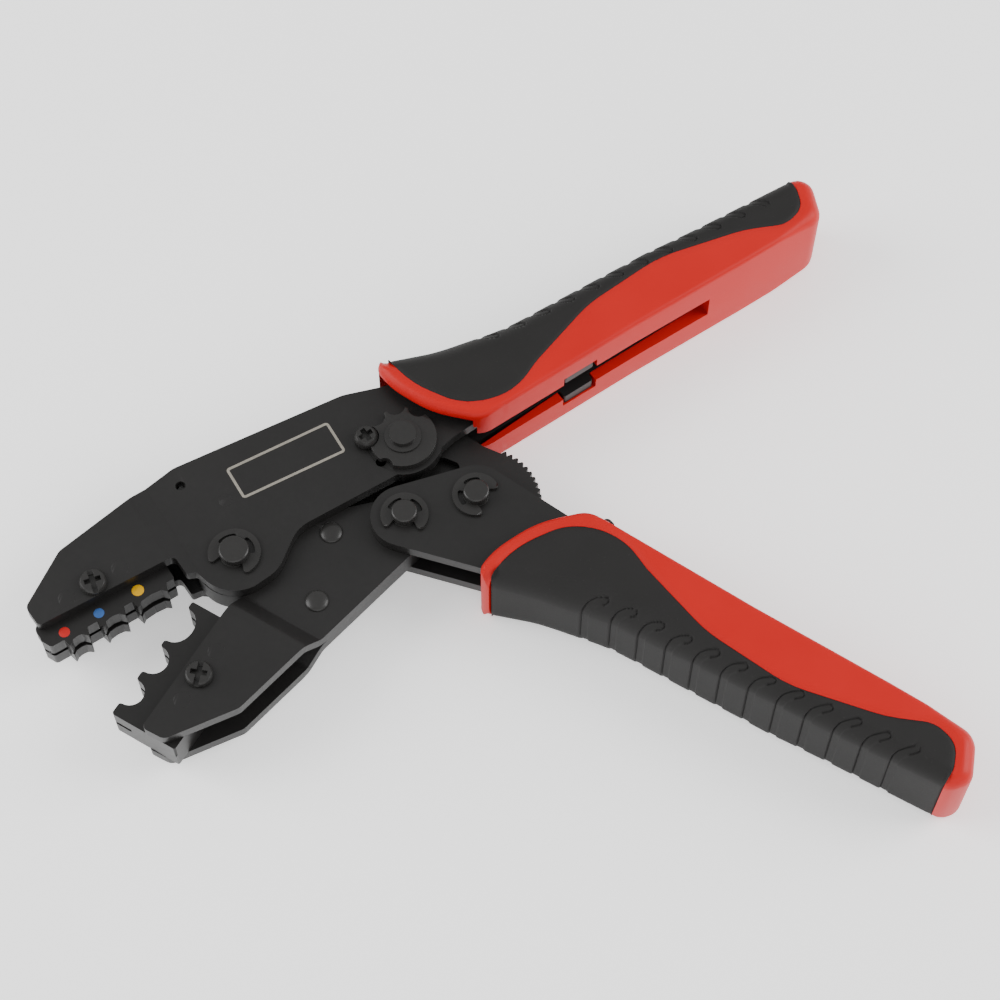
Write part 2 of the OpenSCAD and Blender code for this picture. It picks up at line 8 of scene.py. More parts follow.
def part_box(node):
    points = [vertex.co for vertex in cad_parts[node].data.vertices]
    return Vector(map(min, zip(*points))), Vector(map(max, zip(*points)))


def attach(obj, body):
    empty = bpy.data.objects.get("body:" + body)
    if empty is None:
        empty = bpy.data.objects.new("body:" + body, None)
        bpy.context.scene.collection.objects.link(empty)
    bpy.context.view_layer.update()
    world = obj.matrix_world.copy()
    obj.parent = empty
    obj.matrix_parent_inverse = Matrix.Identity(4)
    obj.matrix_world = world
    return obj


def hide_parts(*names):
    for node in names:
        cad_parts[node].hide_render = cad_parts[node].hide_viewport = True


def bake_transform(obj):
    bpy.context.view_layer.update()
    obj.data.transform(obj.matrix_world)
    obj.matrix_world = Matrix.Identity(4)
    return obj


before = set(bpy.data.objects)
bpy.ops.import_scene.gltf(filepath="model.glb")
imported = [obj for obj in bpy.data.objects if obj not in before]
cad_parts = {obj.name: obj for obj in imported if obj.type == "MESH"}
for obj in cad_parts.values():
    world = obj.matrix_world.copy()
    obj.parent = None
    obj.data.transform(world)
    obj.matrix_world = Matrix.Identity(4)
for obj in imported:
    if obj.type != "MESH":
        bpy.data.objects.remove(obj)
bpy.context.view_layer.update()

# ---- Camera and studio ------------------------------------------------------------------------
# The tool lies on pale card under three large soft lights, seen from in front and above. The
# camera, and every drawing below, is placed from the centre of the main pivot.

low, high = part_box("main_pivot_pin")
PIVOT = (low + high) / 2


def add(name, data):
    """A new object in the scene."""
    made = bpy.data.objects.new(name, data)
    bpy.context.scene.collection.objects.link(made)
    return made


camera = add("camera", bpy.data.cameras.new("camera"))
camera.location = PIVOT + Vector((0.06135, -0.2549, 0.512))
camera.rotation_euler = (math.radians(28), 0, 0)
camera.data.sensor_width = 36
camera.data.lens = 88.2
camera.data.clip_start = 0.01
bpy.context.scene.camera = camera


def add_light(name, place, size, power):
    """A rectangular soft light, turned towards the tool."""
    lamp = bpy.data.lights.new(name, "AREA")
    lamp.shape = "RECTANGLE"
    lamp.size, lamp.size_y = size
    lamp.energy = power
    holder = add(name, lamp)
    holder.location = place
    aim = Vector((0, 0, 0.01)) - Vector(place)
    holder.rotation_euler = aim.to_track_quat("-Z", "Y").to_euler()


add_light("left_bank", (-0.95, 0.05, 0.55), (0.7, 0.9), 11)
add_light("right_bank", (0.95, 0.1, 0.6), (0.7, 0.9), 11)
add_light("front_bank", (0.1, -1.0, 0.5), (1.4, 0.5), 3)

world = bpy.data.worlds.new("studio")
world.use_nodes = True
world.node_tree.nodes["Background"].inputs["Color"].default_value = (1, 1, 1, 1)
world.node_tree.nodes["Background"].inputs["Strength"].default_value = 0.75
bpy.context.scene.world = world

# ---- Plates -------------------------------------------------------------------------------------
# Pressed steel plates, the link, the ratchet plate and the pawl, tumbled so that every edge is
# slightly broken, then blackened in a hot bath. The CAD solids show, with their edges eased.

MM = 0.001


class Wire:
    """A node's output, for writing shader maths as sums and products."""

    def __init__(self, tree, socket=None):
        self.tree, self.socket = tree, socket

    def node(self, kind, settings=None, out=0, **links):
        """A new node. Its sockets go by name, with _ for a space, or by number, as i0."""
        made = self.tree.nodes.new("ShaderNode" + kind)
        for name, value in (settings or {}).items():
            setattr(made, name, value)
        for name, value in links.items():
            numbered = name[0] == "i" and name[1:].isdigit()
            place = int(name[1:]) if numbered else name.replace("_", " ")
            if isinstance(value, Wire):
                self.tree.links.new(value.socket, made.inputs[place])
            else:
                made.inputs[place].default_value = value
        return Wire(self.tree, made.outputs[out])

    def maths(self, operation, first, second):
        return self.node("Math", {"operation": operation}, i0=first, i1=second)

    def __add__(self, other):
        return self.maths("ADD", self, other)

    def __sub__(self, other):
        return self.maths("SUBTRACT", self, other)

    def __rsub__(self, other):
        return self.maths("SUBTRACT", other, self)

    def __mul__(self, other):
        return self.maths("MULTIPLY", self, other)

    def __gt__(self, other):
        return self.maths("GREATER_THAN", self, other)

    __radd__, __rmul__ = __add__, __mul__

    def colour(self, first, second):
        """The first colour where this is 0 and the second where it is 1."""
        ends = {"i6": (*first, 1), "i7": (*second, 1)}
        return self.node("Mix", {"data_type": "RGBA"}, out=2, i0=self, **ends)


def place_of(tree):
    """A point's own coordinates on its object."""
    return Wire(tree).node("TexCoord", out=3)


def new_finish(name, **fixed):
    """A material, its tree and its shader, with the shader's constant sockets set."""
    made = bpy.data.materials.new(name)
    made.use_nodes = True
    shader = made.node_tree.nodes["Principled BSDF"]
    for socket, value in fixed.items():
        shader.inputs[socket.replace("_", " ")].default_value = value
    return made, made.node_tree, shader


def feed(tree, shader, socket, wire):
    tree.links.new(wire.socket, shader.inputs[socket])


def black_oxide(name, dark, light, roughness):
    """Blued steel: a nearly black satin skin, uneven from the bath, with a fine blasted grain."""
    made, tree, shader = new_finish(name, Metallic=0.0, Specular_IOR_Level=0.38)
    where = place_of(tree)
    cloud = where.node("TexNoise", Vector=where, Scale=38.0, Detail=4.0, Roughness=0.6)
    speck = where.node("TexNoise", Vector=where, Scale=900.0, Detail=2.0, Roughness=0.5)
    feed(tree, shader, "Base Color", (cloud * 0.75 + speck * 0.25).colour(dark, light))
    feed(tree, shader, "Roughness", cloud * 0.12 + speck * 0.08 + (roughness - 0.1))
    feed(tree, shader, "Normal", where.node("Bump", Strength=0.12, Distance=0.00008, Height=speck))
    return made


def ease_edges(node, width, finish):
    """Gives a CAD node its finish and breaks its edges by this width."""
    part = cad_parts[node]
    part.data.materials.clear()
    part.data.materials.append(finish)
    weld = part.modifiers.new("weld", "WELD")
    weld.merge_threshold = 2e-6
    bevel = part.modifiers.new("eased_edges", "BEVEL")
    bevel.width = width
    bevel.segments = 2
    bevel.limit_method = "ANGLE"
    bevel.angle_limit = math.radians(35)
    shade = part.modifiers.new("flat_faces", "WEIGHTED_NORMAL")
    shade.keep_sharp = True
    for face in part.data.polygons:
        face.use_smooth = True


plate_finish = black_oxide("black_oxide_plate", (0.0065, 0.0062, 0.006), (0.014, 0.0132, 0.0128), 0.4)
for plate in ("front_frame_plate", "rear_frame_plate", "front_jaw_plate", "rear_jaw_plate",
              "front_handle_plate", "rear_handle_plate", "toggle_link", "ratchet_plate", "pawl"):
    ease_edges(plate, 0.22 * MM, plate_finish)

# ---- Dies ---------------------------------------------------------------------------------------
# The two crimping dies, ground from tool steel and blackened like the plates. They are not
# tumbled, so their edges stay nearly sharp. A screw and dowels hold each of them.

die_finish = black_oxide("black_oxide_die", (0.006, 0.0056, 0.0054), (0.012, 0.0113, 0.0108), 0.36)
for die in ("upper_die", "lower_die"):
    ease_edges(die, 0.1 * MM, die_finish)

# ---- Pins, rings, rivets and screws -------------------------------------------------------------
# Turned pins with their retaining rings, the rivets and spacers, the adjuster and the die screws:
# bought-in steel parts, darkened and oiled, a little lighter than the plates.

hardware_finish = black_oxide("darkened_hardware", (0.011, 0.0106, 0.0102), (0.026, 0.025, 0.024), 0.34)
for fitting in (
    "upper_die_screw", "lower_die_screw", "main_pivot_pin", "main_pivot_clips", "eccentric_pin",
    "adjuster_wheel", "adjuster_lock_screw", "eccentric_clip", "frame_spacers", "handle_spacers",
    "jaw_rivets", "jaw_pin", "jaw_pin_clips", "link_pin", "link_pin_clips", "pawl_pin", "link_washer",
):
    ease_edges(fitting, 0.12 * MM, hardware_finish)

# ---- Dowels -------------------------------------------------------------------------------------
# Flush pins pressed through the plates and blackened with them. Each end is chamfered, which
# leaves a fine ring round it.

for dowel in ("upper_die_dowels", "lower_die_dowels", "spring_anchor_pin"):
    ease_edges(dowel, 0.35 * MM, plate_finish)

# ---- Springs ------------------------------------------------------------------------------------
# Two tension springs of hard drawn wire, each with a loop at both ends. The long one opens the
# jaws, from the pin in the frame to the jaw; the short one pulls the pawl's arm.

# Where the moving handle's own axes start, and how far they are turned.
MOVING_START, MOVING_TURN = (85.8, 6.1), -34.0


def moving_point(s, w):
    """A point given along the moving handle and across it."""
    x, y = MOVING_START
    angle = math.radians(MOVING_TURN)
    return (
        x + s * math.cos(angle) + w * math.sin(angle),
        y + s * math.sin(angle) - w * math.cos(angle),
    )


def coil_mesh(start, end, outer, wire, turns, loop_start, loop_end):
    """A spring between the centres of its pins, with loops of these radii round them."""
    per_turn, sides = 16, 8
    lead, step_in = 0.9, 0.3
    start, end = np.array(start, float), np.array(end, float)
    length = np.hypot(*(end - start))
    radius = (outer - wire) / 2
    body_start, body_end = loop_start + lead, length - loop_end - lead

    # the wire's centre line: loop, coil, loop, along x from the first pin
    path = [(loop_start * math.cos(a), loop_start * math.sin(a), 0)
            for a in np.radians(np.arange(55, 331, 15))]
    path.append((body_start - step_in, -radius / 2, 0))
    for k in range(turns * per_turn + 1):
        a = 2 * math.pi * k / per_turn - math.pi / 2
        x = body_start + (body_end - body_start) * k / (turns * per_turn)
        path.append((x, radius * math.sin(a), radius * math.cos(a)))
    path.append((body_end + step_in, -radius / 2, 0))
    path += [(length - loop_end * math.cos(a), loop_end * math.sin(a), 0)
             for a in np.radians(np.arange(-30, -306, -15))]
    path = np.array(path)

    # a round section carried along the line without twisting
    along = np.gradient(path, axis=0)
    along /= np.linalg.norm(along, axis=1)[:, None]
    out = np.zeros_like(path)
    side = np.array((0.0, 0.0, 1.0))
    for k, t in enumerate(along):
        side = side - t * (side @ t)
        side /= np.linalg.norm(side)
        out[k] = side
    across = np.cross(along, out)
    section = np.radians(np.arange(0, 360, 360 / sides))
    rings = [path + wire / 2 * (math.cos(a) * out + math.sin(a) * across) for a in section]
    points = np.stack(rings, 1)

    # turned to lie from pin to pin
    u = (end - start) / length
    flat = points[..., :1] * u + points[..., 1:2] * np.array((-u[1], u[0])) + start
    points = np.concatenate([flat, points[..., 2:]], -1).reshape(-1, 3)
    last = (len(path) - 1) * sides
    faces = [tuple(range(sides))[::-1], tuple(range(last, last + sides))]
    for base in range(0, last, sides):
        for i in range(sides):
            j = (i + 1) % sides
            faces.append((base + i, base + j, base + sides + j, base + sides + i))
    mesh = bpy.data.meshes.new("spring")
    mesh.from_pydata([tuple(PIVOT + Vector(p) * MM) for p in points], [], faces)
    for face in mesh.polygons:
        face.use_smooth = len(face.vertices) == 4
    return mesh


spring_wire = black_oxide("spring_wire", (0.03, 0.0295, 0.029), (0.055, 0.054, 0.053), 0.3)


def add_spring(name, start, end, bodies, *sizes):
    """Sizes are the outer and wire diameters, the turns and the radii of the loops."""
    mesh = coil_mesh(start, end, *sizes)
    mesh.materials.append(spring_wire)
    spring = add(f"{name}_coil", mesh)
    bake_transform(spring)
    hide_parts(name)


add_spring("opening_spring", (-2.8, 13.9), (22.6, 11.0), ("frame", "jaw"), 3.4, 0.6, 26, 1.75, 0.95)
add_spring("pawl_spring", moving_point(3.45, 8.61), moving_point(20.5, 8.6),
           ("pawl", "moving_handle"), 2.6, 0.45, 14, 0.9, 3.2)

# ---- Paint marks on the upper die ---------------------------------------------------------------
# Three drops of enamel, one beside each nest, in the colours that terminal sizes are known by.
# Each is put on by hand and dries to a low dome on the die's flat face.

die_face, mark_rise, mark_sides = 4.5, 0.16, 30


def enamel(name, base):
    made, tree, shader = new_finish(name, Specular_IOR_Level=0.15)
    where = place_of(tree)
    uneven = where.node("TexNoise", Vector=where, Scale=700.0, Detail=2.0)
    feed(tree, shader, "Base Color", uneven.colour([c * 0.85 for c in base], base))
    feed(tree, shader, "Roughness", uneven * 0.15 + 0.28)
    return made


for name, (x, y), radius, base in (
    ("red", (-38.0, -19.2), 1.3, (0.5, 0.02, 0.018)),
    ("blue", (-30.5, -14.4), 1.25, (0.04, 0.11, 0.31)),
    ("yellow", (-22.0, -8.6), 1.45, (0.66, 0.36, 0.003)),
):
    profile = [(radius * r, mark_rise * (1 - r * r) + 0.01) for r in (0.35, 0.65, 0.88, 1.0)]
    profile.append((radius, -0.1))
    points, faces = [(0, 0, mark_rise + 0.01)], []
    for r, z in profile:
        points += [(r * math.cos(a), r * math.sin(a), z)
                   for a in np.radians(np.arange(0, 360, 360 / mark_sides))]
    for i in range(mark_sides):
        j = (i + 1) % mark_sides
        faces.append((0, 1 + i, 1 + j))
        for ring in range(1, 1 + mark_sides * (len(profile) - 1), mark_sides):
            faces.append((ring + i, ring + mark_sides + i, ring + mark_sides + j, ring + j))
    faces.append(tuple(reversed(range(len(points) - mark_sides, len(points)))))
    points = [tuple(PIVOT + Vector((x + px, y + py, die_face + z)) * MM) for px, py, z in points]
    mesh = bpy.data.meshes.new(f"{name}_mark")
    mesh.from_pydata(points, [], faces)
    for face in mesh.polygons:
        face.use_smooth = len(face.vertices) < 5
    mesh.materials.append(enamel(f"{name}_enamel", base))
    mark = add(f"{name}_mark", mesh)
    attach(mark, "frame")

# ---- Panel outline ------------------------------------------------------------------------------
# A plain rounded frame laser-marked on the front plate and left empty: the mark takes the black
# off and leaves a thin line of dull steel. Here the line stands a few hundredths of a millimetre
# above the plate, so that it shows.

panel = np.array([(-3.3, 22.2), (20.3, 35.1), (25.0, 27.1), (1.35, 14.3)])
line_width, line_foot, line_top, corner_r = 0.65, 6.1, 6.235, 0.9


def panel_ring(inset):
    """The panel's outline, moved inwards, with its corners rounded."""
    points = []
    for k, here in enumerate(panel):
        before, after = panel[k - 1] - here, panel[(k + 1) % 4] - here
        before, after = before / np.hypot(*before), after / np.hypot(*after)
        centre = here + (before + after) * corner_r
        for a in np.linspace(0, math.pi / 2, 7):
            points.append(centre - (after * math.cos(a) + before * math.sin(a)) * (corner_r - inset))
    return points


def closed_mesh(name, points, faces):
    """A mesh with all its faces turned outwards."""
    mesh = bpy.data.meshes.new(name)
    mesh.from_pydata(points, [], faces)
    work = bmesh.new()
    work.from_mesh(mesh)
    bmesh.ops.recalc_face_normals(work, faces=work.faces)
    work.to_mesh(mesh)
    work.free()
    return mesh


outer_ring, inner_ring = panel_ring(0), panel_ring(line_width)
section = ((outer_ring, line_foot), (outer_ring, line_top), (inner_ring, line_top), (inner_ring, line_foot))
points = [tuple(PIVOT + Vector((x, y, z)) * MM) for ring, z in section for x, y in ring]
count, faces = len(outer_ring), []
for k in range(4):
    here, beyond = k * count, (k + 1) % 4 * count
    for i in range(count):
        j = (i + 1) % count
        faces.append((here + i, here + j, beyond + j, beyond + i))
mesh = closed_mesh("panel_outline", points, faces)

etched, tree, shader = new_finish("etched_steel", Metallic=0.0, Specular_IOR_Level=0.4)
where = place_of(tree)
scan = where.node("TexNoise", Vector=where, Scale=1800.0, Detail=3.0)
feed(tree, shader, "Base Color", scan.colour((0.17, 0.155, 0.13), (0.3, 0.28, 0.24)))
feed(tree, shader, "Roughness", scan * 0.15 + 0.45)
mesh.materials.append(etched)
panel_mark = add("panel_outline", mesh)
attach(panel_mark, "frame")

# ---- Red sleeves --------------------------------------------------------------------------------
# A hard nylon shell pressed over the tails of each handle's plates, hollow, slotted along the
# face that looks at the other handle, with a window where two tabs of the plates snap in.

# Corners with their radii, along the handle and across it from the inner face.
SLEEVE = [(-5.0, 0, 6), (-13.4, 9.2, 26), (-17.6, 20.5, 20), (-17.6, 29.0, 3), (-4, 24.0, 24),
          (14, 19.7, 40), (56, 16.6, 60), (98.2, 12.8, 4), (101.4, 8.8, 4), (96.8, -1.3, 5),
          (74, -1.1, 30), (40, -0.2, 60)]
GRIP_EDGE = [(-14.0, 40, 0), (-14.0, 18.5, 24), (-7.0, 6.2, 14), (4.0, 0.9, 16), (14.5, 5.4, 14),
             (34, 11.2, 30), (56, 12.2, 30), (78, 6.6, 30), (87.6, 1.9, 7), (94.0, 3.4, 6),
             (96.4, 9.0, 5), (96.4, 40, 0)]
CAVITY = [(-40, -0.6, 0), (19, 2.4, 4), (66.5, 2.4, 1), (66.5, 13.4, 1), (14, 15.6, 20),
          (0, 18.4, 14), (-14, 25.4, 10), (-40, 34, 0)]
MOUTH = [(-40, 0), (6, 2.4), (6, 17.2), (0, 18.6), (-14, 25.8), (-40, 34)]
SLOT = [(-40, -9), (62.5, -9), (62.5, 4), (-40, 4)]
WINDOW = [(18.8, -9), (28.6, -9), (28.6, 4), (18.8, 4)]
TAIL_BACK = (98.4, 12.3)
# Half the sleeve's thickness, half the widths of its openings, and more than either.
SLEEVE_HALF = 12.0
CAVITY_HALF, MOUTH_HALF, SLOT_HALF, WINDOW_HALF = 6.3, 9.3, 3.4, 6.25
BEYOND = 20
# The red sinks by this much beside the grip, over this width.
SINK, SINK_WIDTH = 0.55, 2.4
GRIP_START, GRIP_END = -14.0, 96.4


def rounded(corners):
    """The closed outline through these corners, each rounded to its radius."""
    points = []
    for i, (x, y, radius) in enumerate(corners):
        here = np.array((x, y), float)
        before = np.array(corners[i - 1][:2], float) - here
        after = np.array(corners[(i + 1) % len(corners)][:2], float) - here
        before, after = before / np.hypot(*before), after / np.hypot(*after)
        half = math.acos(max(-1, min(1, before @ after))) / 2
        if radius <= 0 or half > math.radians(89):
            points.append(here)
            continue
        centre = here + (before + after) / np.hypot(*(before + after)) * radius / math.sin(half)
        first = here + before * radius / math.tan(half) - centre
        last = here + after * radius / math.tan(half) - centre
        start = math.atan2(first[1], first[0])
        turn = (math.atan2(last[1], last[0]) - start + math.pi) % (2 * math.pi) - math.pi
        count = max(2, math.ceil(abs(math.degrees(turn)) / 6))
        for angle in start + turn * np.arange(count + 1) / count:
            points.append(centre + radius * np.array((math.cos(angle), math.sin(angle))))
    return np.array(points)


def spaced(line, step):
    """The same open line with its points this far apart."""
    along = np.concatenate([[0], np.cumsum(np.hypot(*np.diff(line, axis=0).T))])
    at = np.linspace(0, along[-1], math.ceil(along[-1] / step) + 1)
    return np.stack([np.interp(at, along, line[:, 0]), np.interp(at, along, line[:, 1])], 1)


def distance(points, line):
    """How far each point is from an open line of points."""
    start, run = line[:-1], np.diff(line, axis=0)
    offset = points[:, None, :] - start[None]
    t = np.clip((offset * run).sum(2) / (run * run).sum(1), 0, 1)
    return np.hypot(*(offset - t[..., None] * run).transpose(2, 0, 1)).min(1)


def inside(points, outline):
    """Which of the points lie inside a closed outline."""
    x, y = points[:, 0, None], points[:, 1, None]
    ax, ay = outline[:, 0], outline[:, 1]
    bx, by = np.roll(ax, -1), np.roll(ay, -1)
    with np.errstate(divide="ignore", invalid="ignore"):
        crosses = ((ay > y) != (by > y)) & (x < (bx - ax) * (y - ay) / (by - ay) + ax)
    return crosses.sum(1) % 2 == 1


def fall(depth, radius):
    """How far a rounded edge lies below its flat, at this distance in from the edge."""
    inner = np.clip(radius - depth, 0, radius)
    return radius - np.sqrt(np.maximum(radius**2 - inner**2, 0))


def shoulder(s):
    """Radius of the sleeve's back edges along the handle."""
    return np.interp(s, (-17, 0, 20, 40, 56, 70, 100), (5.2, 6.8, 6.4, 5.2, 4.7, 5.0, 4.2))


def lip(s):
    """Radius of the sleeve's inner and mouth edges, larger round the end of the handle."""
    return np.interp(s, (-16, -6, 0, 84, 97), (2.6, 2.2, 1.2, 1.2, 3.8))


corner_points = rounded(SLEEVE)
closed_outline = spaced(np.vstack([corner_points, corner_points[:1]]), 0.7)
outline = closed_outline[:-1]
grip_edge = spaced(rounded(GRIP_EDGE)[1:-1], 0.5)
grip_edge = np.vstack([[GRIP_START, 30.0], grip_edge, [GRIP_END, 30.0]])

# the outline's back, from the mouth's corner to the tail's, and the rest of it
from_back = np.roll(outline, -int(np.argmax(outline[:, 1])), axis=0)
tail = int(np.argmin(np.hypot(*(from_back - TAIL_BACK).T)))
back_line = from_back[: tail + 1]
front_line = np.vstack([from_back[tail:], from_back[:1]])


def edge_rings():
    """Points of the sleeve's flat, close together where its edges round and beside the grip."""
    rings = [outline]
    along = np.roll(outline, -1, 0) - np.roll(outline, 1, 0)
    along /= np.hypot(*along.T)[:, None]
    inwards = np.column_stack([along[:, 1], -along[:, 0]])
    for angle in (12, 25, 38, 52, 66, 80, 90):
        for radius in (lip(outline[:, 0]), shoulder(outline[:, 0])):
            inset = radius * (1 - math.cos(math.radians(angle)))
            ring = outline + inwards * inset[:, None]
            clear = distance(ring, closed_outline) > inset * 0.97
            rings.append(ring[clear & inside(ring, outline)])
    side = np.roll(grip_edge, -1, 0) - np.roll(grip_edge, 1, 0)
    side = np.column_stack([-side[:, 1], side[:, 0]]) / np.hypot(*side.T)[:, None]
    for offset in (-2.4, -1.8, -1.2, -0.7, -0.3, 0.3, 1.0, 1.8, 2.4):
        ring = grip_edge[1:-1] + side[1:-1] * offset
        clear = distance(ring, grip_edge) > abs(offset) * 0.97
        clear &= distance(ring, closed_outline) > 0.3
        rings.append(ring[clear & inside(ring, outline)])
    return np.vstack(rings)


def prism(points, half):
    """The closed solid over an outline, from -half to half."""
    n = len(points)
    around = [(i, (i + 1) % n, (i + 1) % n + n, i + n) for i in range(n)]
    return closed_mesh(
        "prism",
        [(*p, -half) for p in points] + [(*p, half) for p in points],
        [tuple(reversed(range(n))), tuple(range(n, 2 * n)), *around],
    )


def carve(mesh, *tools):
    """The mesh with each tool's volume cut away."""
    body = add("carved", mesh)
    cutters = []
    for tool in tools:
        cutter = add("cutter", tool)
        cut = body.modifiers.new("cut", "BOOLEAN")
        cut.operation, cut.solver, cut.object = "DIFFERENCE", "EXACT", cutter
        cutters.append(cutter)
    bpy.context.view_layer.update()
    solved = body.evaluated_get(bpy.context.evaluated_depsgraph_get())
    made = bpy.data.meshes.new_from_object(solved)
    for piece in [body, *cutters]:
        bpy.data.objects.remove(piece)
    return made


def soften(mesh, angle):
    """Smooth shading everywhere but across edges sharper than this angle."""
    work = bmesh.new()
    work.from_mesh(mesh)
    bmesh.ops.remove_doubles(work, verts=work.verts, dist=1e-6)
    for face in work.faces:
        face.smooth = True
    for edge in work.edges:
        edge.smooth = len(edge.link_faces) == 2 and edge.calc_face_angle(0) < math.radians(angle)
    work.to_mesh(mesh)
    work.free()


def sleeve_mesh():
    """The solid moulding, sunk a little beside the grip, with its openings cut away."""
    loop = [(i, (i + 1) % len(outline)) for i in range(len(outline))]
    points = [Vector(p) for p in edge_rings()]
    points, _, faces, *_ = geometry.delaunay_2d_cdt(points, loop, [], 1, 1e-5)
    flat = np.array([tuple(p) for p in points])
    s = flat[:, 0]
    drop = np.maximum(
        fall(distance(flat, back_line), shoulder(s)), fall(distance(flat, front_line), lip(s))
    )
    beside = distance(flat, grip_edge)
    height = SLEEVE_HALF - drop - SINK * np.clip(1 - beside / SINK_WIDTH, 0, 1) ** 2
    count = len(flat)
    hull = closed_mesh(
        "hull",
        np.vstack([np.column_stack([flat, height]), np.column_stack([flat, -height])]).tolist(),
        [tuple(f) for f in faces]
        + [tuple(v + count for v in reversed(f)) for f in faces]
        + [(a, b, b + count, a + count) for a, b in loop],
    )
    made = carve(
        hull,
        prism(grip_edge, BEYOND),
        prism(rounded(CAVITY), CAVITY_HALF),
        prism(MOUTH, MOUTH_HALF),
        prism(SLOT, SLOT_HALF),
        prism(WINDOW, WINDOW_HALF),
    )
    soften(made, 32)
    return made


def mould(part, mesh, finish):
    """One moulding on both handles; the moving handle's is turned over."""
    for name, body, start, angle, side in (
        ("fixed_handle", "frame", (61.35, 36.0), 35.2, 1),
        ("moving_handle", "moving_handle", MOVING_START, MOVING_TURN, -1),
    ):
        moulded = mesh.copy()
        moulded.transform(
            Matrix.Translation(PIVOT + Vector((*start, 0)) * MM)
            @ Matrix.Rotation(math.radians(angle), 4, "Z")
            @ Matrix.Diagonal((MM, MM * side, MM, 1))
        )
        if side < 0:
            moulded.flip_normals()
        moulded.materials.clear()
        moulded.materials.append(finish)
        piece = add(f"{name}_{part}_moulding", moulded)
        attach(piece, body)
        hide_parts(f"{name}_{part}")


red_nylon, tree, shader = new_finish("red_nylon", Specular_IOR_Level=0.2)
where = place_of(tree)
mottle = where.node("TexNoise", Vector=where, Scale=60.0, Detail=3.0)
grain = where.node("TexNoise", Vector=where, Scale=2600.0, Detail=2.0)
feed(tree, shader, "Base Color", mottle.colour((0.46, 0.006, 0.005), (0.52, 0.010, 0.008)))
feed(tree, shader, "Roughness", mottle * 0.08 + grain * 0.1 + 0.33)
feed(tree, shader, "Normal", where.node("Bump", Strength=0.15, Distance=0.00006, Height=grain))
mould("sleeve", sleeve_mesh(), red_nylon)

# ---- Black grips --------------------------------------------------------------------------------
# A skin of soft elastomer moulded over the back of each sleeve, with twelve hooked finger grooves.
# Its edge dips into the red to seal the joint.

GRIP_THICK = 1.7
INNER_START = 0.02
# The skin lies this far below the sleeve's shape, and lower by the dip within reach of its edge.
LEVEL, DIP, DIP_REACH = 0.12, 0.4, 0.9
first_groove, groove_step, groove_count = 7.9, 6.95, 12
grooves = first_groove + groove_step * np.arange(groove_count)
groove_half, groove_depth, groove_slope = 0.95, 0.26, 0.3
crease_at, crease_width, crease_depth = 0.9, 0.15, 0.5


def grip_columns():
    """Places along the handle where the skin has a column of points, close at each groove."""
    lower = grip_edge[grip_edge[:, 1] < 29]
    stations = list(np.interp(np.linspace(0, 1, 60), np.linspace(0, 1, len(lower)), lower[:, 0]))
    for groove in grooves:
        stations += list(np.arange(-1.4, 1.41, 0.14) + groove)
        stations += list(np.arange(1.6, 4.4, 0.2) + groove) + [groove + 4.8]
    stations = np.unique(np.round(np.clip(stations, GRIP_START, GRIP_END), 3))
    stations = stations[np.concatenate([[True], np.diff(stations) > 0.08])]
    stations[-1] = GRIP_END

    # the grip's lower edge and the sleeve's back at each of them
    lower = lower[np.argsort(lower[:, 0], kind="stable")]
    back = back_line[np.argsort(back_line[:, 0])]
    low_w = np.interp(stations, lower[:, 0], lower[:, 1])
    low_w[0], low_w[-1] = 24.9, 10.1
    back_w = np.interp(stations, back[:, 0], back[:, 1])
    back_w = back_w - 0.5 * np.clip(1 - (stations - GRIP_START) / 0.8, 0, 1) ** 2
    return stations, low_w, back_w


def grip_rows(stations, low_w, back_w):
    """Rows of points across the skin, each as its w, z and slope, from one edge to the other."""
    radius = np.minimum(shoulder(stations), back_w - low_w - 0.25)
    rows = []
    for share in np.linspace(0, 1, 12) ** 1.25:
        w = low_w + (back_w - radius - low_w) * share
        rows.append((w, np.full_like(w, SLEEVE_HALF), 90.0))
    for angle in np.arange(86.5, -1, -3.5):
        angle = max(angle, 0.0)
        a = math.radians(angle)
        w = back_w - radius * (1 - math.cos(a))
        rows.append((w, SLEEVE_HALF - radius * (1 - math.sin(a)), angle))
    for share in (0.7, 0.35, 0.0):
        rows.append((back_w, (SLEEVE_HALF - radius) * share, 0.0))
    rows += [(w, -z, -angle) for w, z, angle in reversed(rows[:-1])]
    return rows


def groove_depths(s, inward):
    """How deep the grooves are at each point, this far in from the back of the sleeve."""
    depth = np.zeros_like(s)
    places = np.column_stack([s.ravel(), inward.ravel()])
    for k, groove in enumerate(grooves):
        tip = 3.0 + 0.09 * k
        path = np.array([(groove, -9), (groove, 0.3), (groove + 0.4, 1.3), (groove + 1.4, 2.4),
                         (groove + 2.9, tip)])
        near = distance(places, path).reshape(s.shape)
        mouth_side = s < np.interp(inward, path[:, 1], path[:, 0])
        edge = np.where(mouth_side | (inward > 2.0), 1.0, 0.25)
        depth = depth + groove_depth * np.clip((groove_half - near) / groove_slope, 0, 1)
        depth = depth + crease_depth * edge * np.exp(-(((near - crease_at) / crease_width) ** 2))
    return depth


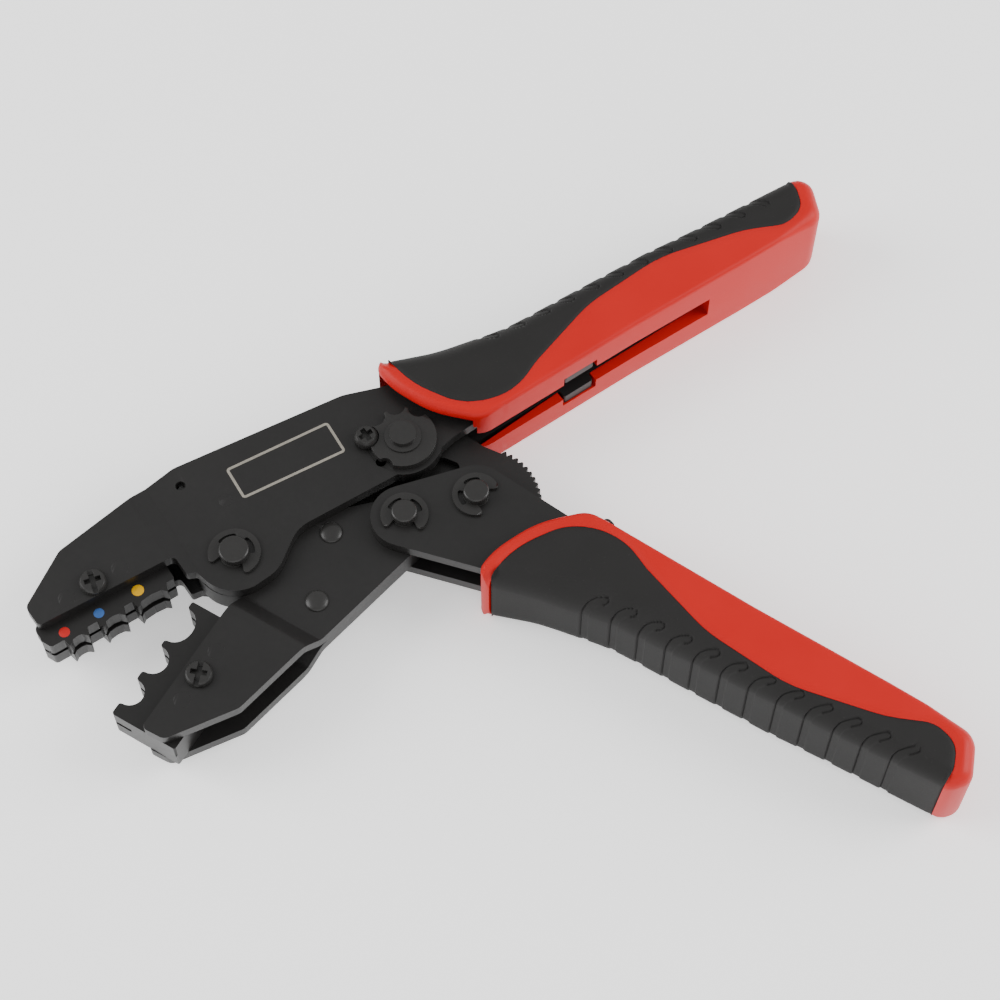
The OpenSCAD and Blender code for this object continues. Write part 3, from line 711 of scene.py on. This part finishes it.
def grip_mesh():
    """A closed skin: an outer sheet, an inner one below it and a rim between them."""
    stations, low_w, back_w = grip_columns()
    rows = grip_rows(stations, low_w, back_w)
    w, z = np.array([r[0] for r in rows]), np.array([r[1] for r in rows])
    tilt = np.radians(np.array([r[2] for r in rows]))[:, None] * np.ones_like(w)
    s = np.broadcast_to(stations, w.shape)
    beside = distance(np.column_stack([s.ravel(), w.ravel()]), grip_edge).reshape(w.shape)
    beside = np.minimum(beside, np.minimum(s - GRIP_START, GRIP_END - s))
    sunk = LEVEL + DIP * np.clip(1 - beside / DIP_REACH, 0, 1) ** 2
    sunk = sunk + groove_depths(s, np.maximum(back_w - w, 0))
    normal = np.stack([np.zeros_like(w), np.cos(tilt), np.sin(tilt)], -1)
    surface = np.stack([s, w, z], -1)
    outer = surface - normal * sunk[..., None]
    inner = surface - normal * GRIP_THICK
    inner[:, 0, 0] += INNER_START
    grid = np.arange(w.size).reshape(w.shape)
    quads = [grid[:-1, :-1], grid[:-1, 1:], grid[1:, 1:], grid[1:, :-1]]
    skin = np.stack(quads, -1).reshape(-1, 4)
    rim = np.concatenate([grid[0, :], grid[1:, -1], grid[-1, -2::-1], grid[-2:0:-1, 0]])
    beyond = np.roll(rim, -1)
    wall = np.stack([rim, rim + w.size, beyond + w.size, beyond], -1)
    made = closed_mesh(
        "grip",
        np.vstack([outer.reshape(-1, 3), inner.reshape(-1, 3)]).tolist(),
        np.vstack([skin, skin[:, ::-1] + w.size, wall]).tolist(),
    )
    soften(made, 40)
    return made


elastomer, tree, shader = new_finish("black_elastomer", Specular_IOR_Level=0.27)
where = place_of(tree)
mottle = where.node("TexNoise", Vector=where, Scale=90.0, Detail=4.0)
grain = where.node("TexNoise", Vector=where, Scale=3200.0, Detail=2.0)
dust = where.node("TexNoise", Vector=where, Scale=1500.0, Detail=1.0) > 0.735
tone = mottle * 0.6 + grain * 0.4 + dust * 0.6
feed(tree, shader, "Base Color", tone.colour((0.007, 0.0066, 0.0063), (0.016, 0.0152, 0.0147)))
feed(tree, shader, "Roughness", mottle * 0.1 + grain * 0.15 + 0.55)
feed(tree, shader, "Normal", where.node("Bump", Strength=0.3, Distance=0.00008, Height=grain))
mould("grip", grip_mesh(), elastomer)

# ---- Floor --------------------------------------------------------------------------------------
# A wide sheet of white card under the tool. It gives off a little light of its own, so that it
# stays pale between the lamps.

floor_mesh = bpy.data.meshes.new("floor")
floor_mesh.from_pydata([(-4, -4, 0), (4, -4, 0), (4, 4, 0), (-4, 4, 0)], [], [(0, 1, 2, 3)])
glow = {"Emission_Strength": 0.6, "Emission_Color": (1, 1, 1, 1)}
card, tree, shader = new_finish("white_card", Roughness=0.9, **glow)
pulp = place_of(tree).node("TexNoise", Scale=3.0, Detail=2.0)
feed(tree, shader, "Base Color", pulp.colour((0.93, 0.93, 0.93), (0.95, 0.95, 0.95)))
floor_mesh.materials.append(card)
floor = add("floor", floor_mesh)
